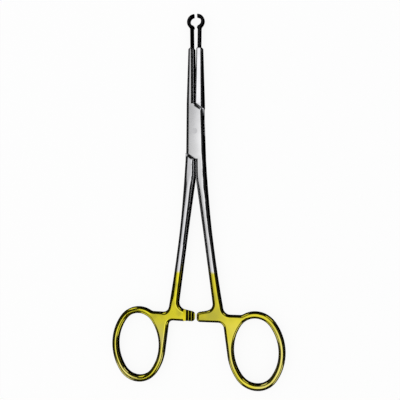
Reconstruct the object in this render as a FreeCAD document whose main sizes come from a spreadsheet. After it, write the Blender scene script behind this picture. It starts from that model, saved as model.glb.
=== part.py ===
"""Ring clamp for holding the vas, 5 1/2 inch pattern: two forged halves and the pin of their box lock.

Millimetres. The clamp lies flat: +Y runs towards the jaws, +Z is up, and the origin is where the
pivot's axis meets the flat underside of the box lock. Both halves are drawn as they stand with the
ring tips closed, mirror images but for the lock, and each is then turned about the pivot by half of
the opening at rest.
"""
import FreeCAD, Part
import math
import os
import Sketcher

# Driving sizes: name, value, meaning

SIZES = [
    # Box lock
    ("box_half_width", 3.08, "half the width of the box lock at its jaws' end"),
    ("lock_lower_half_width", 3.5, "half the width of the box lock at its shanks' end"),
    ("box_half_length", 10.3, "pivot to the inner end of a shoulder"),
    ("shoulder_drop", 2.1, "how far a shoulder slopes from its inner to its outer end"),
    ("shoulder_round", 0.3, "rounding of the edges on both sides of a shoulder's joint"),
    ("box_thickness", 4.6, "thickness of the box lock"),
    ("tongue_thickness", 2.0, "thickness of the male half inside the lock"),
    ("slot_play", 0.05, "gap between the tongue and each plate"),
    ("tongue_radius", 3.62, "radius of the tongue about the pivot"),
    ("fit_gap", 0.06, "gap between the halves' walls with the jaws closed"),
    ("pin_radius", 1.1, "radius of the riveted pin"),
    ("pin_clearance", 0.03, "radial running clearance of the tongue on the pin"),
    ("inner_round", 0.55, "rounding of the jaws' inner edges"),
    # Jaws and their ring
    ("jaw_length", 20.9, "inner end of the shoulder to the step before the neck"),
    ("jaw_end_half_width", 2.34, "half the width of the closed jaws at the step"),
    ("jaw_end_thickness", 3.0, "thickness of the jaws at the step"),
    ("jaw_end_round", 0.9, "rounding of the jaws' outer edges at the step"),
    ("step_length", 0.9, "length of the slope from jaw to neck"),
    ("neck_half_width", 1.65, "half the width of the closed necks"),
    ("neck_relief", 0.3, "how far each neck stands back from the closing plane"),
    ("tip_thickness", 1.9, "thickness of the necks and of the ring"),
    ("ring_height", 41.6, "pivot to the centre of the jaws' ring"),
    ("ring_inner_radius", 1.55, "inner radius of the closed ring"),
    ("ring_wire", 1.3, "width of the ring's wire"),
    ("ring_mouth_round", 0.8, "rounding where the ring meets the closing plane below"),
    ("neck_shoulder_round", 1.5, "hollow where the neck runs out into the ring"),
    ("tip_round", 0.58, "rounding of the ring's and necks' edges"),
    # Shanks
    ("shank_lap", 1.0, "how far a shank runs on into the lock's block"),
    ("shank_ledge", 0.02, "how far the block stands out beyond the shank at their joint"),
    ("crotch_drop", 17.2, "pivot to the fork between the shanks"),
    ("crotch_round", 20.0, "easing of the inner edge at the fork"),
    ("shank_inner_end", 5.95, "inner edge of a shank at the ratchet arm"),
    ("shank_outer_upper", 5.05, "outer edge of a shank a third of the way down"),
    ("shank_upper_drop", 32.0, "pivot to that place"),
    ("shank_outer_end", 9.8, "outer edge of a shank at the saddle"),
    ("shank_thickness", 3.0, "thickness of the shanks, ratchet arms and finger rings"),
    ("thinning_length", 32.0, "length over which the shank thins below the lock"),
    ("edge_round", 1.1, "rounding of the long edges of lock, shank, arm and finger ring"),
    # Ratchet arms
    ("arm_bottom", 70.7, "pivot to the lower edge of the ratchet arms"),
    ("arm_tip_height", 3.5, "height of a ratchet arm at its tip"),
    ("arm_root_height", 4.7, "height of a ratchet arm at the shank"),
    ("arm_overlap", 0.45, "how far an arm reaches past the middle with the jaws closed"),
    ("arm_corner_round", 1.3, "rounding of the arm's tip corners"),
    ("arm_root_round", 2.6, "hollow between the arm and the shank"),
    ("blade_length", 4.1, "length of the arm that is cut to half thickness"),
    ("blade_gap", 0.08, "gap between the crests of the two arms' teeth"),
    ("tooth_pitch", 1.1, "spacing of the ratchet teeth"),
    ("tooth_depth", 0.5, "depth of the ratchet teeth"),
    ("tooth_land", 0.3, "flat in front of the first tooth's notch"),
    ("tooth_count", 3, "teeth on each arm"),
    # Finger rings
    ("saddle_rise", 2.9, "lower edge of the arms up to the lowest point of the saddle"),
    ("saddle_round", 2.6, "hollow of the saddle"),
    ("web_width", 1.3, "how far the web stands inward of the finger ring, at the arm"),
    ("web_round", 2.0, "hollow between the arm and the web"),
    ("finger_ring_across", 21.35, "pivot's axis to the centre of a finger ring, sideways"),
    ("finger_ring_below", 9.7, "lower edge of the arms to the centre of a finger ring"),
    ("finger_half_width", 8.1, "half the width of a finger ring's hole"),
    ("finger_half_length", 11.7, "half the length of a finger ring's hole"),
    ("finger_end_round", 6.4, "radius of the two ends of a finger ring's hole"),
    ("finger_band", 2.45, "width of a finger ring's band"),
    # Rest
    ("rest_opening", 1.43, "angle between the halves from closed to rest, degrees"),
]

NEAR = 1e-4                        # two places closer than this are one
THROUGH = "(4 * box_thickness)"    # longer than any cut through the clamp's thickness
RIGHT = 1
LEFT = -1
UPPER = 1
LOWER = -1


def fill_sheet(document):
    """The spreadsheet of driving sizes, each with its meaning beside it."""
    sheet = document.addObject("Spreadsheet::Sheet", "sizes")
    for row, (name, value, meaning) in enumerate(SIZES, 1):
        sheet.set(f"A{row}", meaning)
        sheet.set(f"B{row}", str(value))
        sheet.setAlias(f"B{row}", name)
    document.recompute()
    return sheet


def bound(formula):
    """The formula with each size's name turned into a reference to the sheet."""
    words = {name for name, _, _ in SIZES}
    pieces = []
    word = ""
    for letter in str(formula) + " ":
        if letter.isalnum() or letter == "_":
            word += letter
            continue
        pieces.append(f"sizes.{word}" if word in words else word)
        pieces.append(letter)
        word = ""
    return "".join(pieces).strip()


def value_of(owner, formula):
    """The number that a formula gives now."""
    return float(owner.evalExpression(bound(formula)))


def new_sketch(body, name, plane, offset="0", rise="0"):
    """A sketch on one of the body's planes, moved by formulas along its normal and up the sheet."""
    sketch = body.newObject("Sketcher::SketchObject", name)
    support = [feature for feature in body.Origin.OriginFeatures if feature.Role == plane][0]
    sketch.AttachmentSupport = (support, [""])
    sketch.MapMode = "FlatFace"
    sketch.setExpression("AttachmentOffset.Base.y", bound(rise))
    sketch.setExpression("AttachmentOffset.Base.z", bound(offset))
    return sketch


def pin_point(sketch, geometry, end, point):
    """Fixes a point of the sketch at a pair of formulas."""
    for kind, formula in zip(("DistanceX", "DistanceY"), point):
        number = value_of(sketch, formula)
        index = sketch.addConstraint(Sketcher.Constraint(kind, -1, 1, geometry, end, number))
        sketch.setExpression(f"Constraints[{index}]", bound(formula))


def draw_outline(sketch, corners):
    """A closed outline. A corner is a pair of formulas; a third entry is a point that the arc to
    the next corner passes through, and without it the edge is straight."""
    def vector(point):
        return FreeCAD.Vector(value_of(sketch, point[0]), value_of(sketch, point[1]), 0)

    edges = []
    for number, corner in enumerate(corners):
        start = vector(corner)
        stop = vector(corners[(number + 1) % len(corners)])
        if len(corner) == 3:
            arc = Part.Arc(start, vector(corner[2]), stop)
            edge = sketch.addGeometry(arc, False)
            middle = sketch.addGeometry(Part.Point(vector(corner[2])), True)
            sketch.addConstraint(Sketcher.Constraint("PointOnObject", middle, 1, edge))
            pin_point(sketch, middle, 1, corner[2])
            turns_left = (vector(corner[2]) - start).cross(stop - start).z > 0
            edges.append((edge, 1, 2) if turns_left else (edge, 2, 1))
        else:
            edge = sketch.addGeometry(Part.LineSegment(start, stop), False)
            edges.append((edge, 1, 2))
    for number, corner in enumerate(corners):
        edge, first, last = edges[number]
        following, following_first, _ = edges[(number + 1) % len(edges)]
        sketch.addConstraint(Sketcher.Constraint("Coincident", edge, last, following, following_first))
        pin_point(sketch, edge, first, corner)


def draw_circle(sketch, centre, radius):
    circle = Part.Circle(FreeCAD.Vector(value_of(sketch, centre[0]), value_of(sketch, centre[1]), 0),
                         FreeCAD.Vector(0, 0, 1), value_of(sketch, radius))
    geometry = sketch.addGeometry(circle, False)
    pin_point(sketch, geometry, 3, centre)
    index = sketch.addConstraint(Sketcher.Constraint("Radius", geometry, value_of(sketch, radius)))
    sketch.setExpression(f"Constraints[{index}]", bound(radius))


def draw_bar_section(sketch, side, inner, outer, thickness, inner_round, outer_round):
    """The section of a jaw or of the lock: flat inside, well rounded outside.

    side is +1 where the section's outer edge lies towards +X and -1 where it lies towards -X."""
    slope = math.sqrt(0.5)
    half = f"({thickness} / 2)"
    corners = []
    for up in (1, -1):
        for edge, radius, outward in ((inner, inner_round, -1), (outer, outer_round, 1)):
            across = f"({side} * ({edge} - {outward} * {radius}))"
            level = f"({up} * ({half} - {radius}))"
            on_face = (across, f"({up} * {half})")
            on_wall = (f"({side} * {edge})", level)
            bulge = (f"({across} + {side * outward} * {radius} * {slope})",
                     f"({level} + {up} * {radius} * {slope})")
            corners.append((on_wall, bulge, on_face))
    top_inner, top_outer, low_inner, low_outer = corners
    draw_outline(sketch, [
        (*top_inner[0], top_inner[1]), top_inner[2],
        (*top_outer[2], top_outer[1]), top_outer[0],
        (*low_outer[0], low_outer[1]), low_outer[2],
        (*low_inner[2], low_inner[1]), low_inner[0],
    ])


def add_pad(body, name, sketch, length, symmetric=True):
    pad = body.newObject("PartDesign::Pad", name)
    pad.Profile = sketch
    pad.SideType = "Symmetric" if symmetric else "One side"
    pad.setExpression("Length", bound(length))
    return pad


def add_ruled_loft(body, name, first, last):
    loft = body.newObject("PartDesign::AdditiveLoft", name)
    loft.Profile = first
    loft.Sections = [last]
    loft.Ruled = True


def add_pocket(body, name, sketch, depth=THROUGH):
    """A cut to both sides of the sketch, of the whole depth given."""
    pocket = body.newObject("PartDesign::Pocket", name)
    pocket.Profile = sketch
    pocket.SideType = "Symmetric"
    pocket.setExpression("Length", bound(depth))
    return pocket


def add_fillet(body, name, base, chosen, radius):
    """Rounds the edges of the base that the chosen function picks."""
    body.Document.recompute()
    names = [f"Edge{number}" for number, edge in enumerate(base.Shape.Edges, 1) if chosen(edge)]
    if not names:
        raise RuntimeError(f"{body.Label}: {name} finds no edge")
    fillet = body.newObject("PartDesign::Fillet", name)
    fillet.Base = (base, names)
    fillet.setExpression("Radius", bound(radius))
    return fillet


def upright_near(base, place):
    """Chooses the upright edge of the base that stands nearest to a pair of formulas."""
    x, y = (value_of(base, formula) for formula in place)

    def distance(edge):
        foot = edge.Vertexes[0].Point
        return math.hypot(foot.x - x, foot.y - y)

    def is_upright(edge):
        ends = [vertex.Point for vertex in edge.Vertexes]
        return len(ends) == 2 and math.hypot(ends[0].x - ends[1].x, ends[0].y - ends[1].y) < NEAR

    upright = [edge for edge in base.Shape.Edges if is_upright(edge)]
    nearest = min(upright, key=distance)
    return lambda edge: edge.isSame(nearest)


def rim_edges(base, below=None, above=None):
    """Chooses the edges between an upright wall and a face that looks up or down, on one side of a
    level of Y. An edge that lies in that level isn't chosen."""
    shape = base.Shape
    highest = math.inf if below is None else value_of(base, below)
    lowest = -math.inf if above is None else value_of(base, above)

    def tilt(face, edge):
        middle = edge.valueAt((edge.FirstParameter + edge.LastParameter) / 2)
        surface_u, surface_v = face.Surface.parameter(middle)
        return abs(face.normalAt(surface_u, surface_v).z)

    def chosen(edge):
        middle = edge.valueAt((edge.FirstParameter + edge.LastParameter) / 2)
        if not lowest + NEAR < middle.y < highest - NEAR:
            return False
        faces = shape.ancestorsOfType(edge, Part.Face)
        if len(faces) != 2:
            return False
        tilts = sorted(tilt(face, edge) for face in faces)
        return tilts[0] < 0.1 and tilts[1] > 0.9
    return chosen


MIDDLE = "box_thickness / 2"                            # height of the plane that halves the clamp
FACE = "(fit_gap / 2)"                                  # closing plane to the inner face of a half
SHOULDER_OUTER = "(box_half_length - shoulder_drop)"    # pivot to the outer end of a shoulder
LAP_END = "(box_half_length - shank_lap)"               # pivot to the shank's end inside the block
STEP = "(box_half_length + jaw_length)"                 # pivot to the step before the neck
LOCK_TAPER = "((lock_lower_half_width - box_half_width) / (2 * box_half_length))"
RING_OUTER = "(ring_inner_radius + ring_wire)"
SLOT_RADIUS = "(tongue_radius + fit_gap)"
TONGUE_HALF_WIDTH = "(box_half_width - slot_play)"
# A finger ring's hole is an oval of four arcs. The arcs of its sides are centred this far beyond its
# centre, those of its ends this far up and down it, and a side's centre lies this far from an end's.
SIDE_CENTRE = ("((finger_half_length - finger_half_width)"
               " * (finger_half_length + finger_half_width - 2 * finger_end_round)"
               " / (2 * (finger_half_width - finger_end_round)))")
END_CENTRE = "(finger_half_length - finger_end_round)"
CENTRES_APART = f"(finger_half_width - finger_end_round + {SIDE_CENTRE})"
SIDE_RADIUS = f"(finger_half_width + finger_band + {SIDE_CENTRE})"    # outer edge of the band's sides
FINGER_RING_DROP = "(arm_bottom + finger_ring_below)"   # pivot to the centre of a finger ring
SADDLE_DROP = "(arm_bottom - saddle_rise)"              # pivot to the lowest point of the saddle


def circle_height(radius, across):
    """Formula for the height of a circle about the origin at a place across it."""
    return f"sqrt({radius} * {radius} - {across} * {across})"


def oval_seam(across, growth, sideways, upwards):
    """Where a side arc of the finger ring's hole, grown all round, meets an end arc. sideways is +1
    away from the shank and upwards is +1 towards it."""
    reach = f"(finger_end_round + {growth}) / {CENTRES_APART}"
    return (across(f"finger_ring_across + {sideways} * {SIDE_CENTRE} * {reach}"),
            f"0 - {FINGER_RING_DROP} + {upwards} * {END_CENTRE} * (1 + {reach})")


def oval_top(across, growth, upwards):
    return (across("finger_ring_across"),
            f"0 - {FINGER_RING_DROP} + {upwards} * (finger_half_length + {growth})")


def oval_side(across, growth, sideways):
    return (across(f"finger_ring_across + {sideways} * (finger_half_width + {growth})"),
            f"0 - {FINGER_RING_DROP}")


def on_ring_end(across, drop):
    """Where the end arc of the finger ring's band crosses a level, on the shank's side."""
    radius = "(finger_end_round + finger_band)"
    height = f"({FINGER_RING_DROP} - {drop} - {END_CENTRE})"
    return (across(f"finger_ring_across - {circle_height(radius, height)}"), f"0 - {drop}")


def on_ring_side(across, height):
    """The side arc of the finger ring's band at a height above the ring's centre, on the shank's side."""
    reach = circle_height(SIDE_RADIUS, height)
    return (across(f"finger_ring_across + {SIDE_CENTRE} - {reach}"), f"{height} - {FINGER_RING_DROP}")


def web_touch(across):
    """Where the straight edge of the web runs tangentially into the side arc of the band."""
    away = f"({SIDE_RADIUS} + web_width)"
    square = f"({away} * {away} + finger_ring_below * finger_ring_below)"
    length = f"sqrt({square} - {SIDE_RADIUS} * {SIDE_RADIUS})"
    inward = f"({SIDE_RADIUS} * ({SIDE_RADIUS} * {away} + {length} * finger_ring_below) / {square})"
    upward = f"({SIDE_RADIUS} * ({SIDE_RADIUS} * finger_ring_below - {length} * {away}) / {square})"
    return (across(f"finger_ring_across + {SIDE_CENTRE} - {inward}"), f"{upward} - {FINGER_RING_DROP}")


def add_shank(body, side):
    """Shank, web, ratchet arm and finger ring: one flat outline with all its long edges rounded."""
    def across(formula):
        return f"{side} * ({formula})"

    web_corner = (across("finger_ring_across - finger_half_width - finger_band - web_width"),
                  "0 - arm_bottom")
    outline = new_sketch(body, "shank_outline", "XY_Plane", MIDDLE)
    draw_outline(outline, [
        (across(FACE), f"0 - {LAP_END}"),
        (across(FACE), "0 - crotch_drop"),
        (across("shank_inner_end"), "0 - arm_bottom + arm_root_height"),
        (across("0 - arm_overlap"), "0 - arm_bottom + arm_tip_height"),
        (across("0 - arm_overlap"), "0 - arm_bottom"),
        web_corner,
        (*web_touch(across), on_ring_side(across, "(0 - finger_half_width / 2)")),
        (*oval_seam(across, "finger_band", -1, -1), oval_top(across, "finger_band", -1)),
        (*oval_seam(across, "finger_band", 1, -1), oval_side(across, "finger_band", 1)),
        (*oval_seam(across, "finger_band", 1, 1), oval_top(across, "finger_band", 1)),
        on_ring_end(across, SADDLE_DROP),
        (across("shank_outer_end"), f"0 - {SADDLE_DROP}",
         (across("shank_outer_upper"), "0 - shank_upper_drop")),
        (across("lock_lower_half_width - shank_ledge"), "0 - box_half_length"),
        (across(f"lock_lower_half_width - shank_ledge - shank_lap * {LOCK_TAPER}"), f"0 - {LAP_END}"),
    ])
    draw_outline(outline, [
        (*oval_seam(across, "0", -1, -1), oval_top(across, "0", -1)),
        (*oval_seam(across, "0", 1, -1), oval_side(across, "0", 1)),
        (*oval_seam(across, "0", 1, 1), oval_top(across, "0", 1)),
        (*oval_seam(across, "0", -1, 1), oval_side(across, "0", -1)),
    ])
    feature = add_pad(body, "shank_blank", outline, "box_thickness")

    hollows = [
        ("crotch", (across(FACE), "0 - crotch_drop"), "crotch_round"),
        ("arm_root", (across("shank_inner_end"), "0 - arm_bottom + arm_root_height"), "arm_root_round"),
        ("arm_upper_corner", (across("0 - arm_overlap"), "0 - arm_bottom + arm_tip_height"),
         "arm_corner_round"),
        ("arm_lower_corner", (across("0 - arm_overlap"), "0 - arm_bottom"), "arm_corner_round"),
        ("saddle_by_shank", (across("shank_outer_end"), f"0 - {SADDLE_DROP}"), "saddle_round"),
        ("saddle_by_ring", on_ring_end(across, SADDLE_DROP), "saddle_round"),
        ("web_hollow", web_corner, "web_round"),
    ]
    for name, place, radius in hollows:
        body.Document.recompute()
        feature = add_fillet(body, name, feature, upright_near(feature, place), radius)

    profile = new_sketch(body, "shank_side_view", "YZ_Plane", "0", MIDDLE)
    for up in (1, -1):
        draw_outline(profile, thinning_outline(up))
    feature = add_pocket(body, "shank_thinning", profile, "4 * finger_ring_across")
    body.Document.recompute()
    return add_fillet(body, "long_edges", feature, rim_edges(feature, f"0 - {LAP_END}"),
                      "edge_round")


def thinning_outline(up):
    """What the side view takes off one flat: an easy S from the lock's thickness to the shank's."""
    lock = "(box_thickness / 2 - shank_ledge)"
    shank = "(shank_thickness / 2)"
    drop = f"({lock} - {shank})"
    half_run = "(thinning_length / 2)"
    radius = f"(({half_run} * {half_run} + {drop} * {drop} / 4) / {drop})"
    sag = f"({radius} - sqrt({radius} * {radius} - {half_run} * {half_run} / 4))"
    start = "0 - box_half_length"
    end = f"0 - {FINGER_RING_DROP} - 2 * finger_half_length"
    return [
        (start, f"{up} * {lock}", (f"{start} - {half_run} / 2", f"{up} * ({lock} - {sag})")),
        (f"{start} - {half_run}", f"{up} * ({lock} + {shank}) / 2",
         (f"{start} - 1.5 * {half_run}", f"{up} * ({shank} + {sag})")),
        (f"{start} - 2 * {half_run}", f"{up} * {shank}"),
        (end, f"{up} * {shank}"),
        (end, f"{up} * box_thickness"),
        (f"0 - {LAP_END}", f"{up} * box_thickness"),
        (f"0 - {LAP_END}", f"{up} * {lock}"),
    ]


def add_lock_block(body):
    """The lock's block, across both halves, with its four long edges rounded."""
    ends = []
    for name, half_width, offset in (("lock_upper_section", "box_half_width", "0 - box_half_length"),
                                     ("lock_lower_section", "lock_lower_half_width", "box_half_length")):
        section = new_sketch(body, name, "XZ_Plane", offset, MIDDLE)
        draw_bar_section(section, 1, f"(0 - {half_width})", half_width, "box_thickness",
                         "edge_round", "edge_round")
        ends.append(section)
    add_ruled_loft(body, "lock_block", *ends)


def shoulder_line(across, gap):
    """A point of the upper shoulder's line, a gap beyond it: across is a share of half the width."""
    return (f"{across} * box_half_width", f"box_half_length - {across} * shoulder_drop + {gap}")


def round_shoulders(body, base, gap, ends):
    """Rounds the edges of the slanted shoulders that stand a gap beyond the shoulder's line.

    ends holds UPPER for the shoulder by the jaw and LOWER for the one by the shank."""
    body.Document.recompute()
    reach = value_of(base, f"box_half_length + {gap}")
    slope = value_of(base, "shoulder_drop / box_half_width")
    inner_end = value_of(base, "fit_gap")

    def on_line(point):
        return abs(abs(point.y) + abs(point.x) * slope - reach) < NEAR and point.x * point.y > -NEAR

    def chosen(edge):
        middle = edge.valueAt((edge.FirstParameter + edge.LastParameter) / 2)
        points = [vertex.Point for vertex in edge.Vertexes] + [middle]
        if abs(middle.x) < inner_end or math.copysign(1, middle.y) not in ends:
            return False
        return all(on_line(point) for point in points)

    return add_fillet(body, "shoulder_edges", base, chosen, "shoulder_round")


def mirrored_through_pivot(points):
    return [(f"0 - ({x})", f"0 - ({y})") for x, y in points]


def add_jaw(body, side):
    """Jaw, step, neck and half ring, on the side that side names."""
    jaw = new_sketch(body, "jaw_root_section", "XZ_Plane", "0 - box_half_length", MIDDLE)
    draw_bar_section(jaw, side, FACE, "box_half_width", "box_thickness", "inner_round", "edge_round")
    step = new_sketch(body, "jaw_end_section", "XZ_Plane", f"0 - {STEP}", MIDDLE)
    draw_bar_section(step, side, FACE, "jaw_end_half_width", "jaw_end_thickness",
                     "inner_round", "jaw_end_round")
    neck = new_sketch(body, "step_end_section", "XZ_Plane", f"0 - {STEP} - step_length", MIDDLE)
    draw_bar_section(neck, side, "2 * neck_relief", "(neck_half_width - neck_relief)",
                     "(tip_thickness - 2 * neck_relief)", "inner_round / 2", "tip_round / 2")
    add_ruled_loft(body, "jaw", jaw, step)
    add_ruled_loft(body, "jaw_step", step, neck)

    def across(formula):
        return f"{side} * ({formula})"

    mouth = f"ring_height - {circle_height('ring_inner_radius', FACE)}"
    crown = f"ring_height + {circle_height('ring_inner_radius', FACE)}"
    top = f"ring_height + {circle_height(RING_OUTER, FACE)}"
    outer_foot = f"ring_height - {circle_height(RING_OUTER, 'neck_half_width')}"
    tip = new_sketch(body, "tip_outline", "XY_Plane", MIDDLE)
    draw_outline(tip, [
        (across("neck_relief"), STEP),
        (across("neck_relief"), f"{mouth} - ring_wire"),
        (across(FACE), f"{mouth} - ring_wire + neck_relief"),
        (across(FACE), mouth, (across("ring_inner_radius"), "ring_height")),
        (across(FACE), crown),
        (across(FACE), top, (across(RING_OUTER), "ring_height")),
        (across("neck_half_width"), outer_foot),
        (across("neck_half_width"), STEP),
    ])
    feature = add_pad(body, "tip", tip, "tip_thickness")
    corners = [
        ("ring_mouth", (across(FACE), mouth), "ring_mouth_round"),
        ("ring_foot", (across("neck_half_width"), outer_foot), "neck_shoulder_round"),
    ]
    for name, place, radius in corners:
        body.Document.recompute()
        feature = add_fillet(body, name, feature, upright_near(feature, place), radius)
    body.Document.recompute()
    return add_fillet(body, "tip_edges", feature, rim_edges(feature, None, STEP), "tip_round")


def add_blade(body, side, level):
    """Cuts the arm to half thickness near its tip and cuts the ratchet teeth into that flat.

    level is +1 where the blade keeps the upper half and -1 where it keeps the lower."""
    def across(formula):
        return f"{side} * ({formula} - arm_overlap)"

    crest = f"{level} * blade_gap / 2"
    valley = f"{level} * (blade_gap / 2 + tooth_depth)"
    beyond = f"0 - {level} * box_thickness"
    height = "arm_bottom - arm_tip_height / 2"
    flat = new_sketch(body, "blade_side_view", "XZ_Plane", height, MIDDLE)
    draw_outline(flat, [
        (across("0 - blade_length"), crest),
        (across("blade_length"), crest),
        (across("blade_length"), beyond),
        (across("0 - blade_length"), beyond),
    ])
    add_pocket(body, "blade", flat, "3 * arm_root_height")
    teeth = new_sketch(body, "teeth_side_view", "XZ_Plane", height, MIDDLE)
    count = round(value_of(teeth, "tooth_count"))
    for number in range(count):
        near = f"(tooth_land + {number} * tooth_pitch)"
        draw_outline(teeth, [
            (across(near), f"0 - {level} * blade_gap"),
            (across(near), valley),
            (across(f"{near} + tooth_pitch - tooth_land / 2"), crest),
            (across(f"{near} + tooth_pitch - tooth_land / 2"), f"0 - {level} * blade_gap"),
        ])
    return add_pocket(body, "teeth", teeth, "3 * arm_root_height")


def add_pin_hole(body, radius):
    hole = new_sketch(body, "pin_hole_outline", "XY_Plane", MIDDLE)
    draw_circle(hole, ("0", "0"), radius)
    return add_pocket(body, "pin_hole", hole)


def make_female_half(document):
    """Jaw on the left, the lock's two plates, shank on the right, in one forging."""
    body = document.addObject("PartDesign::Body", "female_half")
    add_shank(body, RIGHT)
    add_lock_block(body)
    shoulders = new_sketch(body, "shoulder_outline", "XY_Plane", MIDDLE)
    corner = [
        shoulder_line("0", "0"),
        shoulder_line("1.5", "0"),
        ("1.5 * box_half_width", "2 * box_half_length"),
        ("0", "2 * box_half_length"),
    ]
    draw_outline(shoulders, corner)
    draw_outline(shoulders, mirrored_through_pivot(corner))
    round_shoulders(body, add_pocket(body, "shoulders", shoulders), "0", (UPPER, LOWER))
    add_jaw(body, LEFT)

    slot = new_sketch(body, "slot_outline", "XY_Plane", MIDDLE)
    far = "2 * box_half_width"
    slant = "sqrt(0.5)"
    upper = circle_height(SLOT_RADIUS, FACE)
    corner_half = [
        (f"0 - {FACE}", upper),
        (f"0 - {FACE}", "1.1 * box_half_length"),
        (far, "1.1 * box_half_length"),
        (far, "0"),
        (SLOT_RADIUS, "0", (f"{SLOT_RADIUS} * {slant}", f"0 - {SLOT_RADIUS} * {slant}")),
    ]
    other_half = [
        (FACE, f"0 - {upper}"),
        (FACE, "0 - 1.1 * box_half_length"),
        (f"0 - {far}", "0 - 1.1 * box_half_length"),
        (f"0 - {far}", "0"),
        (f"0 - {SLOT_RADIUS}", "0", (f"0 - {SLOT_RADIUS} * {slant}", f"{SLOT_RADIUS} * {slant}")),
    ]
    draw_outline(slot, corner_half + other_half)
    add_pocket(body, "slot", slot, "tongue_thickness + 2 * slot_play")
    add_pin_hole(body, "pin_radius")
    add_blade(body, RIGHT, UPPER)
    return body


def make_male_half(document):
    """Jaw on the right, a thin tongue through the lock, shank on the left, in one forging."""
    body = document.addObject("PartDesign::Body", "male_half")
    add_shank(body, LEFT)
    add_lock_block(body)
    middle = new_sketch(body, "recess_outline", "XY_Plane", MIDDLE)
    edge = [
        (FACE, "2 * box_half_length"),
        shoulder_line(f"{FACE} / box_half_width", "fit_gap"),
        shoulder_line("1.5", "fit_gap"),
        ("1.5 * box_half_width", "0 - 2 * box_half_length"),
    ]
    draw_outline(middle, edge + mirrored_through_pivot(edge))
    round_shoulders(body, add_pocket(body, "recesses", middle), "fit_gap", (UPPER,))
    add_jaw(body, RIGHT)

    tongue = new_sketch(body, "tongue_outline", "XY_Plane", MIDDLE)
    slant = "sqrt(0.5)"
    end = "1.1 * box_half_length"
    arc_top = circle_height("tongue_radius", FACE)
    arc_side = circle_height("tongue_radius", TONGUE_HALF_WIDTH)
    bulge = f"tongue_radius * {slant}"
    draw_outline(tongue, [
        (FACE, end),
        (FACE, arc_top, (f"0 - {bulge}", bulge)),
        (f"0 - {TONGUE_HALF_WIDTH}", arc_side),
        ("slot_play - lock_lower_half_width", f"0 - {end}"),
        (f"0 - {FACE}", f"0 - {end}"),
        (f"0 - {FACE}", f"0 - {arc_top}", (bulge, f"0 - {bulge}")),
        (TONGUE_HALF_WIDTH, f"0 - {arc_side}"),
        (TONGUE_HALF_WIDTH, end),
    ])
    add_pad(body, "tongue", tongue, "tongue_thickness")
    add_pin_hole(body, "pin_radius + pin_clearance")
    add_blade(body, LEFT, LOWER)
    return body


def make_pivot_pin(document):
    """Pin riveted flush with both plates."""
    pin = document.addObject("Part::Cylinder", "pivot_pin")
    pin.setExpression("Radius", bound("pin_radius"))
    pin.setExpression("Height", bound("box_thickness"))
    return pin


def turn_about_pivot(thing, angle):
    """Turns a piece about the pivot, by a formula in degrees."""
    thing.Placement = FreeCAD.Placement(FreeCAD.Vector(0, 0, 0),
                                        FreeCAD.Rotation(FreeCAD.Vector(0, 0, 1),
                                                         value_of(thing, angle)))


def build():
    document = FreeCAD.newDocument("ring_clamp")
    fill_sheet(document)
    female = make_female_half(document)
    male = make_male_half(document)
    pin = make_pivot_pin(document)
    document.recompute()
    turn_about_pivot(female, "rest_opening / 2")
    turn_about_pivot(male, "0 - rest_opening / 2")
    document.recompute()

    failed = [thing.Name for thing in document.Objects if {"Invalid", "Error"} & set(thing.State)]
    if failed:
        raise RuntimeError(f"features failed: {failed}")
    pieces = [female, male, pin]
    for piece in pieces:
        shape = piece.Shape
        if shape.isNull() or not shape.isValid() or len(shape.Solids) != 1:
            raise RuntimeError(f"{piece.Label}: its shape is not one valid solid")
    os.makedirs("parts", exist_ok=True)
    for piece in pieces:
        piece.Shape.exportStep(f"parts/{piece.Label}.step")
        print(piece.Label, round(piece.Shape.Volume, 1), "mm3")


build()
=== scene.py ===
"""Studio scene of the ring clamp: polished steel with gold-plated handles, lying on a white floor.

The three pieces keep the shapes of the part. This script gives them their finish, with painted light
and shade, and adds the floor, the light, the cards that the steel reflects, and the camera.
"""
import math

import bpy
from mathutils import Matrix, Vector


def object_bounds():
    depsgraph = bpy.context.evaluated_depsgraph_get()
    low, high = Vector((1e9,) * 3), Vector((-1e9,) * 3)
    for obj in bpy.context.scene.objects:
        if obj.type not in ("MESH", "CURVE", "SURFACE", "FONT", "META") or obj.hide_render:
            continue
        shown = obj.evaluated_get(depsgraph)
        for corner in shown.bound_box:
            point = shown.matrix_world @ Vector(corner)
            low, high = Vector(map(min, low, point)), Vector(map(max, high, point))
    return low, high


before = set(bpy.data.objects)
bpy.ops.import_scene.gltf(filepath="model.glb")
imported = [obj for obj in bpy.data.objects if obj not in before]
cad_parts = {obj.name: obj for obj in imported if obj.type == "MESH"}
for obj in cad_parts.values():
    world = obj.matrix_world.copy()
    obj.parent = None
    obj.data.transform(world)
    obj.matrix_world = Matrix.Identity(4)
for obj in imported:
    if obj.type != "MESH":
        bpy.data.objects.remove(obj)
solid_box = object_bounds()

MM = 0.001
LOCK_MIDDLE = solid_box[1][2] / MM / 2     # half the thickness of the lock, the thickest place
NODE_SPACING = 200
WHITE = (1.0, 1.0, 1.0, 1.0)
FEMALE = "female_half"
MALE = "male_half"
PIN = "pivot_pin"

# Camera, in millimetres and degrees
AIM = Vector((1.59, -25.57, LOCK_MIDDLE))
DISTANCE = 191.3
LEAN_RIGHT = 13.4          # from straight above towards +X
LEAN_UP = -1.47            # from straight above towards +Y
LENS = 46.2
SENSOR = 36.0
CLIP = (10.0, 50000.0)
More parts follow.
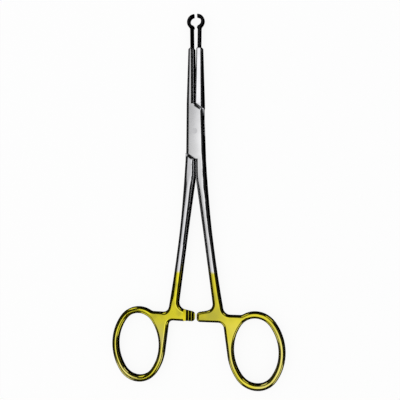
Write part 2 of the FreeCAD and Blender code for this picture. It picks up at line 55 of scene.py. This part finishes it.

# Colours, linear. The reflected sky shades each flat, and the steels are toned lighter or darker on
# each half and from shank to jaw to suit: painted light and shade on one steel.
JAW_STEEL_LIT_AND_SHADED = {FEMALE: (0.80, 0.80, 0.815), MALE: (0.97, 0.97, 1.0), PIN: (0.76, 0.76, 0.775)}
SHANK_STEEL_LIT_AND_SHADED = {FEMALE: (0.92, 0.92, 0.93), MALE: (0.80, 0.80, 0.82), PIN: (0.76, 0.76, 0.775)}
DULLER = 0.88
# Painted light and shade: the same plating is toned darker on the female half and lighter on the male
# half.
GOLD_LIT_AND_SHADED = {FEMALE: (0.80, 0.70, 0.048), MALE: (1.0, 0.90, 0.045)}
GOLD_TARNISHED = (0.58, 0.53, 0.06)
# Painted highlight: paler gold in patches towards the finger ring.
GOLD_PAINTED_HIGHLIGHT = (0.86, 0.77, 0.20)
# Painted shade: near-black steel for the tip and for the hidden faces in the lock.
PAINTED_SHADE_STEEL = (0.014, 0.014, 0.015)
SCRIM_BLACK = (0.006, 0.006, 0.007)

# Noises of the finish: features per metre, and the part of each noise that is used
GRAIN_STRETCH = (900.0, 60.0, 900.0)
GRAIN = {"scale": 4.0, "detail": 4.0, "roughness": 0.6}
CLOUD = {"scale": 160.0, "detail": 3.0}
SMUDGE = {"scale": 45.0, "detail": 2.0}
TARNISH = {"scale": 150.0, "detail": 2.0}
HIGHLIGHT_PATCHES = {"scale": 70.0, "detail": 2.0}
WOBBLE = {"scale": 900.0, "detail": 2.0}
CLOUD_RANGE = (0.35, 0.75)
TARNISH_RANGE = (0.45, 0.72)
HIGHLIGHT_PATCH_RANGE = (0.38, 0.62)

# Surface: roughness where clean, what smudges add to it, and the grain's relief in millimetres
ROUGHNESS = 0.07
SMUDGE_ROUGHNESS = 0.06
GRAIN_DEPTH = 0.02
GRAIN_STRENGTH = 0.05

# Where the finish, the painted shade on the tip and the painted highlight change, in millimetres
# along the clamp
PLATING_LINE = -52.0
PLATING_BLEND = 0.8
TIP_SHADE_LINE = 31.4
TIP_SHADE_BLEND = 0.4
LINE_WOBBLE = 0.5
HIGHLIGHT_FROM = -68.0
HIGHLIGHT_FULL = -78.0

# Lock and shanks, as in the part, in millimetres and degrees. A half's own coordinates are turned
# back by its half turn, from rest to closed, and then its closing plane is X = 0.
SIDE = {FEMALE: 1.0, MALE: -1.0}     # side of the closing plane on which a half has its shank
HALF_TURN = 0.715
LOCK_HALF_LENGTH = 10.3
SHOULDER_SLOPE = 0.682
SHOULDER_START = 0.03
CROTCH_DROP = 17.2
SHANK_MIDDLE = 2.0          # closing plane to the middle of a shank at the crotch
SHANK_SPREAD = 0.115        # how fast the middle of a shank moves outward
SHANK_END = 66.0

# Relief that hand polishing leaves: crowned flats, a leaning flat and broken edges. Each pair of
# places along the clamp goes from no crown to the full crown.
LOCK_CROWN_RADIUS = 42.0
LOCK_CROWN_FADE = (LOCK_HALF_LENGTH + 1.0, LOCK_HALF_LENGTH - 2.0)
SHANK_CROWN_RADIUS = {FEMALE: 8.0, MALE: 5.0}
SHANK_CROWN_START = (-CROTCH_DROP + 3.0, -CROTCH_DROP - 5.0)
SHANK_CROWN_END = (-SHANK_END, -SHANK_END + 6.0)
MALE_JAW_LEAN = 0.05
BROKEN_SLOPE = 0.47
SHOULDER_BREAK = 0.85
FEMALE_JAW_BREAK = 1.2

# Painted shade on the hidden faces around the tongue: half the size of the box that they lie in, and
# its soft borders
JOINT_SHADE_HALF_SIZE = (2.4, 19.0, 1.1)
JOINT_SHADE_BLEND = (0.15, 1.0, 0.05)

# Floor and light, in millimetres
FLOOR_HALF = 4000.0
FLOOR_COLOUR = (0.93, 0.93, 0.93, 1.0)
FLOOR_GLOW = 0.9
WORLD_LIGHT = 0.75
WORLD_LIGHT_SEEN = 0.25      # added where the world itself is seen
LAMP_PLACE = Vector((-120.0, 50.0, 450.0))
LAMP_SIZE = (500.0, 600.0)
LAMP_POWER = 0.5

# Black cards around the clamp, open towards the sky, in millimetres and degrees from the zenith
CARD_LEVEL = 0.03
CARD_HALF = 600.0
CARD_TOP = 1500.0
CARD_CENTRE = -25.0
OPEN_LEFT = -21.5
OPEN_RIGHT = 19.0
OPEN_DOWN = -30.0
OPEN_UP = 30.0

# Faint light low on the cards, and strip lights in their corners. Each pair goes from dark to lit:
# first the heights at the light's foot and top, then the slopes of a strip's sides, seen from above.
HORIZON_LIGHT = 0.02
STRIP_LIGHT = 0.65
LIGHT_FOOT = (2.0, 60.0)
LIGHT_TOP = (640.0, 520.0)
STRIP_FIRST_SIDE = (0.62, 0.73)
STRIP_LAST_SIDE = (2.0, 1.65)

# Grey scrim at the left rim of the opening
SCRIM_FOOT = 920.0
SCRIM_EDGE = -6.0
SCRIM_DENSITY = 0.4


# Node helpers

def place_node(made, spot):
    made.location = (spot[0] * NODE_SPACING, spot[1] * NODE_SPACING)
    return made


def feed(tree, socket, value):
    """Link a socket to another, or set it to a plain value."""
    if isinstance(value, bpy.types.NodeSocket):
        tree.links.new(value, socket)
    else:
        socket.default_value = value


def node(tree, kind, spot, **inputs):
    """A node with its named inputs fed; spaces in their names are written as underscores."""
    made = place_node(tree.nodes.new(kind), spot)
    for name, value in inputs.items():
        feed(tree, made.inputs[name.replace("_", " ")], value)
    return made


def math_node(tree, spot, operation, *values):
    made = place_node(tree.nodes.new("ShaderNodeMath"), spot)
    made.operation = operation
    for index, value in enumerate(values):
        feed(tree, made.inputs[index], value)
    return made.outputs[0]


def mix_colour(tree, spot, share, first, second):
    """First colour where the share is 0, second where it is 1; colours are sockets or triples."""
    made = place_node(tree.nodes.new("ShaderNodeMix"), spot)
    made.data_type = "RGBA"
    sockets = {socket.identifier: socket for socket in made.inputs}
    feed(tree, sockets["Factor_Float"], share)
    for name, value in (("A_Color", first), ("B_Color", second)):
        if isinstance(value, tuple):
            value = (*value, 1.0)
        feed(tree, sockets[name], value)
    return next(socket for socket in made.outputs if socket.identifier == "Result_Color")


def map_range(tree, spot, value, low, high, to_low=0.0, to_high=1.0):
    """Smooth step from one number to another while the value goes from low to high."""
    made = node(tree, "ShaderNodeMapRange", spot, Value=value, From_Min=low, From_Max=high,
                To_Min=to_low, To_Max=to_high)
    made.interpolation_type = "SMOOTHSTEP"
    return made.outputs["Result"]


def noise(tree, spot, coordinates, scale, detail, roughness=0.5):
    made = node(tree, "ShaderNodeTexNoise", spot, Vector=coordinates, Scale=scale, Detail=detail,
                Roughness=roughness)
    return made.outputs["Fac"]


def mix_shaders(tree, spot, share, first, second):
    made = node(tree, "ShaderNodeMixShader", spot, Fac=share)
    tree.links.new(first, made.inputs[1])
    tree.links.new(second, made.inputs[2])
    return made.outputs["Shader"]


def new_material(name):
    material = bpy.data.materials.new(name)
    material.use_nodes = True
    tree = material.node_tree
    tree.nodes.clear()
    return material, tree


def finish_material(tree, shader):
    output = node(tree, "ShaderNodeOutputMaterial", (1, 0))
    tree.links.new(shader, output.inputs["Surface"])


# Relief of the polished flats

def broken_edge(tree, spot, depth, width):
    """Height of a flat whose edge is broken: depth is how far a point lies inside the edge."""
    column, row = spot
    inside = math_node(tree, spot, "SUBTRACT", width, depth)
    inside = math_node(tree, (column + 1, row), "MAXIMUM", inside, 0.0)
    return math_node(tree, (column + 2, row), "MULTIPLY", inside, -BROKEN_SLOPE)


def lock_crown(tree, across, along):
    squared = math_node(tree, (-10, 5), "MULTIPLY", across, across)
    crown = math_node(tree, (-9, 5), "DIVIDE", squared, -2.0 * LOCK_CROWN_RADIUS)
    length = math_node(tree, (-10, 6), "ABSOLUTE", along)
    on_lock = map_range(tree, (-9, 6), length, *LOCK_CROWN_FADE)
    return math_node(tree, (-8, 5), "MULTIPLY", crown, on_lock)


def shank_crown(tree, piece, across, along):
    side = SIDE[piece]
    middle_at_pivot = side * (SHANK_MIDDLE - SHANK_SPREAD * CROTCH_DROP)
    middle = math_node(tree, (-10, 8), "MULTIPLY_ADD", along, -side * SHANK_SPREAD, middle_at_pivot)
    off_middle = math_node(tree, (-9, 8), "SUBTRACT", across, middle)
    squared = math_node(tree, (-8, 8), "MULTIPLY", off_middle, off_middle)
    crown = math_node(tree, (-7, 8), "DIVIDE", squared, -2.0 * SHANK_CROWN_RADIUS[piece])
    below_crotch = map_range(tree, (-8, 9), along, *SHANK_CROWN_START)
    above_arm = map_range(tree, (-8, 10), along, *SHANK_CROWN_END)
    on_shank = math_node(tree, (-7, 9), "MULTIPLY", below_crotch, above_arm)
    return math_node(tree, (-6, 8), "MULTIPLY", crown, on_shank)


def shoulder_edge(tree, piece, across, along):
    """Broken edge along the slanted line of the shoulder on this half's side of the lock."""
    side = SIDE[piece]
    slanted = math_node(tree, (-10, 3), "MULTIPLY", across, SHOULDER_SLOPE)
    slanted = math_node(tree, (-9, 3), "ADD", slanted, along)
    depth = math_node(tree, (-8, 3), "SUBTRACT", side * LOCK_HALF_LENGTH, slanted)
    depth = math_node(tree, (-7, 3), "MULTIPLY", depth, math.cos(math.atan(SHOULDER_SLOPE)))
    edge = broken_edge(tree, (-6, 3), depth, SHOULDER_BREAK)
    outward = math_node(tree, (-9, 2), "MULTIPLY", across, side)
    on_shoulder = math_node(tree, (-8, 2), "GREATER_THAN", outward, SHOULDER_START)
    return math_node(tree, (-3, 3), "MULTIPLY", edge, on_shoulder)


def jaw_relief(tree, piece, across, along):
    """Broken inner edge of the left jaw, or the lean of the right jaw's flat."""
    if piece == FEMALE:
        inside = math_node(tree, (-9, 1), "MULTIPLY", across, -1.0)
        relief = broken_edge(tree, (-8, 1), inside, FEMALE_JAW_BREAK)
    else:
        relief = math_node(tree, (-8, 1), "MULTIPLY", across, -MALE_JAW_LEAN)
    by_jaw = math_node(tree, (-6, 0), "GREATER_THAN", along, LOCK_HALF_LENGTH)
    return math_node(tree, (-5, 1), "MULTIPLY", relief, by_jaw)


def polished_height(tree, piece, coordinates):
    """Height, in millimetres, that hand polishing gives the flats of one half."""
    turn = math.radians(-SIDE[piece] * HALF_TURN)
    turned = node(tree, "ShaderNodeMapping", (-12, 4), Vector=coordinates, Rotation=(0.0, 0.0, turn),
                  Scale=(1.0 / MM,) * 3)
    parts = node(tree, "ShaderNodeSeparateXYZ", (-11, 4), Vector=turned.outputs["Vector"])
    across = parts.outputs["X"]
    along = parts.outputs["Y"]
    height = lock_crown(tree, across, along)
    height = math_node(tree, (-5, 8), "ADD", height, shank_crown(tree, piece, across, along))
    height = math_node(tree, (-2, 3), "ADD", height, shoulder_edge(tree, piece, across, along))
    return math_node(tree, (-1, 3), "ADD", height, jaw_relief(tree, piece, across, along))


# Metal of the three pieces

def duller(colour):
    return tuple(part * DULLER for part in colour)


def steel_colour(tree, piece, along, cloud):
    """Clouded steel whose painted light and shade changes slowly from the tone of the shanks to that
    of the jaws.
    """
    by_jaw = map_range(tree, (-6, -3), along, -LOCK_HALF_LENGTH * MM, LOCK_HALF_LENGTH * MM)
    shank = SHANK_STEEL_LIT_AND_SHADED[piece]
    jaw = JAW_STEEL_LIT_AND_SHADED[piece]
    bright = mix_colour(tree, (-5, 1), by_jaw, shank, jaw)
    dull = mix_colour(tree, (-5, 2), by_jaw, duller(shank), duller(jaw))
    return mix_colour(tree, (-4, 0), cloud, bright, dull)


def gold_colour(tree, piece, coordinates, along, cloud):
    """Clouded plating with darker tarnish, and a painted highlight of paler gold in patches towards
    the finger ring.
    """
    tarnish = map_range(tree, (-6, -4), noise(tree, (-7, -4), coordinates, **TARNISH), *TARNISH_RANGE)
    gold = mix_colour(tree, (-4, -1), cloud, GOLD_LIT_AND_SHADED[piece], duller(GOLD_LIT_AND_SHADED[piece]))
    gold = mix_colour(tree, (-4, -2), tarnish, gold, GOLD_TARNISHED)
    # Painted highlight: patches of paler gold that grow towards the finger ring.
    highlight = map_range(tree, (-6, -5), noise(tree, (-7, -5), coordinates, **HIGHLIGHT_PATCHES), *HIGHLIGHT_PATCH_RANGE)
    by_ring = map_range(tree, (-6, -6), along, HIGHLIGHT_FROM * MM, HIGHLIGHT_FULL * MM)
    highlight = math_node(tree, (-5, -5), "MULTIPLY", highlight, by_ring)
    return mix_colour(tree, (-4, -3), highlight, gold, GOLD_PAINTED_HIGHLIGHT)


def joint_painted_shade(tree, parts):
    """1 where shade is painted on the hidden faces around the tongue, 0 outside the lock."""
    height = math_node(tree, (-10, -9), "SUBTRACT", parts.outputs["Z"], LOCK_MIDDLE * MM)
    within = []
    for index, value in enumerate((parts.outputs["X"], parts.outputs["Y"], height)):
        row = -7 - index
        half = JOINT_SHADE_HALF_SIZE[index]
        blend = JOINT_SHADE_BLEND[index]
        size = math_node(tree, (-9, row), "ABSOLUTE", value)
        within.append(map_range(tree, (-8, row), size, (half + blend) * MM, (half - blend) * MM))
    share = math_node(tree, (-7, -8), "MULTIPLY", within[0], within[1])
    return math_node(tree, (-6, -8), "MULTIPLY", share, within[2])


def half_colour(tree, piece, coordinates, parts, cloud, steel):
    """Steel with a gold-plated handle, painted shade on the tip, and painted shade on the hidden
    faces in the lock.
    """
    along = parts.outputs["Y"]
    gold = gold_colour(tree, piece, coordinates, along, cloud)
    wobble = noise(tree, (-6, -2), coordinates, **WOBBLE)
    uneven = math_node(tree, (-5, -2), "MULTIPLY_ADD", wobble, LINE_WOBBLE * MM, along)
    plated = map_range(tree, (-4, -4), uneven, (PLATING_LINE + PLATING_BLEND) * MM,
                       (PLATING_LINE - PLATING_BLEND) * MM)
    # Painted shade: the tip beyond its line is turned near black.
    tip_shade = map_range(tree, (-4, -5), uneven, (TIP_SHADE_LINE - TIP_SHADE_BLEND) * MM,
                       (TIP_SHADE_LINE + TIP_SHADE_BLEND) * MM)
    colour = mix_colour(tree, (-3, 0), plated, steel, gold)
    colour = mix_colour(tree, (-2, 0), tip_shade, colour, PAINTED_SHADE_STEEL)
    # Painted shade on the hidden faces around the tongue.
    return mix_colour(tree, (-1, 1), joint_painted_shade(tree, parts), colour, PAINTED_SHADE_STEEL)


def polished_metal(piece):
    """Finely grained, slightly smudged metal of one piece."""
    material, tree = new_material(piece + "_steel")
    coordinates = node(tree, "ShaderNodeTexCoord", (-8, 0)).outputs["Object"]
    parts = node(tree, "ShaderNodeSeparateXYZ", (-7, -2), Vector=coordinates)
    cloud = map_range(tree, (-5, 0), noise(tree, (-6, 0), coordinates, **CLOUD), *CLOUD_RANGE)
    colour = steel_colour(tree, piece, parts.outputs["Y"], cloud)
    if piece in GOLD_LIT_AND_SHADED:
        colour = half_colour(tree, piece, coordinates, parts, cloud, colour)

    smudge = noise(tree, (-6, -1), coordinates, **SMUDGE)
    rough = math_node(tree, (-4, 1), "MULTIPLY_ADD", smudge, SMUDGE_ROUGHNESS, ROUGHNESS)
    stretched = node(tree, "ShaderNodeMapping", (-7, 1), Vector=coordinates, Scale=GRAIN_STRETCH)
    grain = noise(tree, (-6, 1), stretched.outputs["Vector"], **GRAIN)
    bump = node(tree, "ShaderNodeBump", (-3, 1), Strength=GRAIN_STRENGTH, Distance=GRAIN_DEPTH * MM,
                Height=grain)
    if piece in SIDE:
        bump = node(tree, "ShaderNodeBump", (-2, 1), Strength=1.0, Distance=MM,
                    Height=polished_height(tree, piece, coordinates), Normal=bump.outputs["Normal"])
    shader = node(tree, "ShaderNodeBsdfPrincipled", (0, 0), Base_Color=colour, Metallic=1.0,
                  Roughness=rough, Normal=bump.outputs["Normal"])
    finish_material(tree, shader.outputs["BSDF"])
    return material


# Materials of the studio

def seen_directly(tree):
    """1 for rays from the camera, from shiny surfaces and through clear ones, else 0."""
    path = node(tree, "ShaderNodeLightPath", (-5, 0))
    seen = math_node(tree, (-4, 0), "MAXIMUM", path.outputs["Is Camera Ray"],
                     path.outputs["Is Glossy Ray"])
    return math_node(tree, (-3, 0), "MAXIMUM", seen, path.outputs["Is Transmission Ray"])


def floor_white():
    """Matt floor that keeps shadows; what is seen of it is mostly plain white."""
    material, tree = new_material("floor_white")
    matt = node(tree, "ShaderNodeBsdfDiffuse", (-1, 0), Color=FLOOR_COLOUR)
    white = node(tree, "ShaderNodeEmission", (-1, -1), Color=WHITE, Strength=1.0)
    share = math_node(tree, (-2, 0), "MULTIPLY", seen_directly(tree), FLOOR_GLOW)
    finish_material(tree, mix_shaders(tree, (0, 0), share, matt.outputs["BSDF"],
                                      white.outputs["Emission"]))
    return material


def card_black():
    """Black card with a faint glow near the horizon and strip lights in its four corners."""
    material, tree = new_material("card_black")
    coordinates = node(tree, "ShaderNodeTexCoord", (-9, 0)).outputs["Object"]
    parts = node(tree, "ShaderNodeSeparateXYZ", (-8, 0), Vector=coordinates)
    height = parts.outputs["Z"]
    off_floor = map_range(tree, (-6, 0), height, *(level * MM for level in LIGHT_FOOT))
    low = map_range(tree, (-6, 1), height, *(level * MM for level in LIGHT_TOP))
    lit = math_node(tree, (-4, 0), "MULTIPLY", off_floor, low)

    sideways = math_node(tree, (-7, 0), "ABSOLUTE", parts.outputs["X"])
    along = math_node(tree, (-8, -1), "SUBTRACT", parts.outputs["Y"], CARD_CENTRE * MM)
    along = math_node(tree, (-7, -1), "ABSOLUTE", along)
    slope = math_node(tree, (-7, -2), "DIVIDE", along, sideways)
    past_first = map_range(tree, (-6, -2), slope, *STRIP_FIRST_SIDE)
    before_last = map_range(tree, (-6, -3), slope, *STRIP_LAST_SIDE)
    strip = math_node(tree, (-5, -2), "MULTIPLY", past_first, before_last)
    light = math_node(tree, (-4, -2), "MULTIPLY_ADD", strip, STRIP_LIGHT, HORIZON_LIGHT)
    glow = math_node(tree, (-3, 0), "MULTIPLY", lit, light)
    shader = node(tree, "ShaderNodeEmission", (-2, 0), Color=WHITE, Strength=glow)
    finish_material(tree, shader.outputs["Emission"])
    return material


def scrim_grey():
    """Thin grey cloth, densest at its foot and clear at its top."""
    material, tree = new_material("scrim_grey")
    coordinates = node(tree, "ShaderNodeTexCoord", (-5, 0)).outputs["Object"]
    parts = node(tree, "ShaderNodeSeparateXYZ", (-4, 0), Vector=coordinates)
    density = map_range(tree, (-3, 0), parts.outputs["Z"], SCRIM_FOOT * MM, CARD_TOP * MM,
                        SCRIM_DENSITY, 0.0)
    clear = node(tree, "ShaderNodeBsdfTransparent", (-2, 1))
    black = node(tree, "ShaderNodeBsdfDiffuse", (-2, 0), Color=(*SCRIM_BLACK, 1.0))
    finish_material(tree, mix_shaders(tree, (-1, 0), density, clear.outputs["BSDF"],
                                      black.outputs["BSDF"]))
    return material


# Studio: floor, cards, light and camera

def stage_sheet(name, corners, faces, material):
    """Flat stage piece with its corners in millimetres."""
    mesh = bpy.data.meshes.new(name)
    mesh.from_pydata([Vector(corner) * MM for corner in corners], [], faces)
    mesh.materials.append(material)
    made = bpy.data.objects.new(name, mesh)
    bpy.context.scene.collection.objects.link(made)
    return made


def only_reflected(card):
    card.visible_camera = False
    card.visible_diffuse = False
    card.visible_shadow = False
    card.visible_transmission = False


def from_zenith(angle, height):
    """How far sideways a line reaches that leans by the angle and rises by the height."""
    return math.tan(math.radians(angle)) * height


def lay_floor():
    corners = [(-FLOOR_HALF, -FLOOR_HALF, 0), (FLOOR_HALF, -FLOOR_HALF, 0),
               (FLOOR_HALF, FLOOR_HALF, 0), (-FLOOR_HALF, FLOOR_HALF, 0)]
    stage_sheet("floor", corners, [(0, 1, 2, 3)], floor_white())


def put_up_cards():
    """Cards and scrim that only reflections see: they draw the dark edges and shade the flats."""
    down = CARD_CENTRE - CARD_HALF
    up = CARD_CENTRE + CARD_HALF
    left_foot = from_zenith(OPEN_LEFT, SCRIM_FOOT)
    right_top = from_zenith(OPEN_RIGHT, CARD_TOP)
    down_top = CARD_CENTRE + from_zenith(OPEN_DOWN, CARD_TOP)
    up_top = CARD_CENTRE + from_zenith(OPEN_UP, CARD_TOP)
    corners = [(-CARD_HALF, down, CARD_LEVEL), (CARD_HALF, down, CARD_LEVEL),
               (CARD_HALF, up, CARD_LEVEL), (-CARD_HALF, up, CARD_LEVEL),
               (-CARD_HALF, down_top, CARD_TOP), (right_top, down_top, CARD_TOP),
               (right_top, up_top, CARD_TOP), (-CARD_HALF, up_top, CARD_TOP),
               (left_foot, down, SCRIM_FOOT), (left_foot, up, SCRIM_FOOT)]
    faces = [(0, 1, 2, 3), (0, 1, 5, 4), (1, 2, 6, 5), (2, 3, 7, 6), (0, 3, 9, 8)]
    only_reflected(stage_sheet("black_cards", corners, faces, card_black()))

    left_top = from_zenith(SCRIM_EDGE, CARD_TOP)
    corners = [(left_foot, down, SCRIM_FOOT), (left_top, down, CARD_TOP),
               (left_top, up, CARD_TOP), (left_foot, up, SCRIM_FOOT)]
    only_reflected(stage_sheet("grey_scrim", corners, [(0, 1, 2, 3)], scrim_grey()))


def light_world():
    """Soft white light from all sides, plain white where it is seen."""
    world = bpy.data.worlds.new("studio")
    bpy.context.scene.world = world
    world.use_nodes = True
    tree = world.node_tree
    tree.nodes.clear()
    strength = math_node(tree, (-1, 0), "MULTIPLY_ADD", seen_directly(tree), WORLD_LIGHT_SEEN,
                         WORLD_LIGHT)
    background = node(tree, "ShaderNodeBackground", (0, 0), Color=WHITE, Strength=strength)
    output = node(tree, "ShaderNodeOutputWorld", (1, 0))
    tree.links.new(background.outputs["Background"], output.inputs["Surface"])


def hang_lamp():
    """Soft box above, slightly to the left, kept out of the reflections."""
    lamp_data = bpy.data.lights.new("soft_box", "AREA")
    lamp_data.shape = "RECTANGLE"
    lamp_data.size = LAMP_SIZE[0] * MM
    lamp_data.size_y = LAMP_SIZE[1] * MM
    lamp_data.energy = LAMP_POWER
    lamp = bpy.data.objects.new("soft_box", lamp_data)
    lamp.location = LAMP_PLACE * MM
    lamp.rotation_euler = (-LAMP_PLACE).to_track_quat("-Z", "Y").to_euler()
    lamp.visible_glossy = False
    bpy.context.scene.collection.objects.link(lamp)


def set_camera():
    lean_right = math.radians(LEAN_RIGHT)
    lean_up = math.radians(LEAN_UP)
    back = Vector((math.sin(lean_right) * math.cos(lean_up), math.sin(lean_up),
                   math.cos(lean_right) * math.cos(lean_up)))
    right = Vector((0, 1, 0)).cross(back).normalized()
    up = back.cross(right)
    camera_data = bpy.data.cameras.new("camera")
    camera_data.lens = LENS
    camera_data.sensor_width = SENSOR
    camera_data.clip_start = CLIP[0] * MM
    camera_data.clip_end = CLIP[1] * MM
    camera = bpy.data.objects.new("camera", camera_data)
    rotation = Matrix((right, up, back)).transposed()
    camera.matrix_world = Matrix.Translation((AIM + back * DISTANCE) * MM) @ rotation.to_4x4()
    bpy.context.scene.collection.objects.link(camera)
    bpy.context.scene.camera = camera


for piece in (FEMALE, MALE, PIN):
    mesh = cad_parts[piece].data
    mesh.materials.clear()
    mesh.materials.append(polished_metal(piece))

lay_floor()
put_up_cards()
light_world()
hang_lamp()
set_camera()
bpy.context.scene.view_settings.view_transform = "Standard"
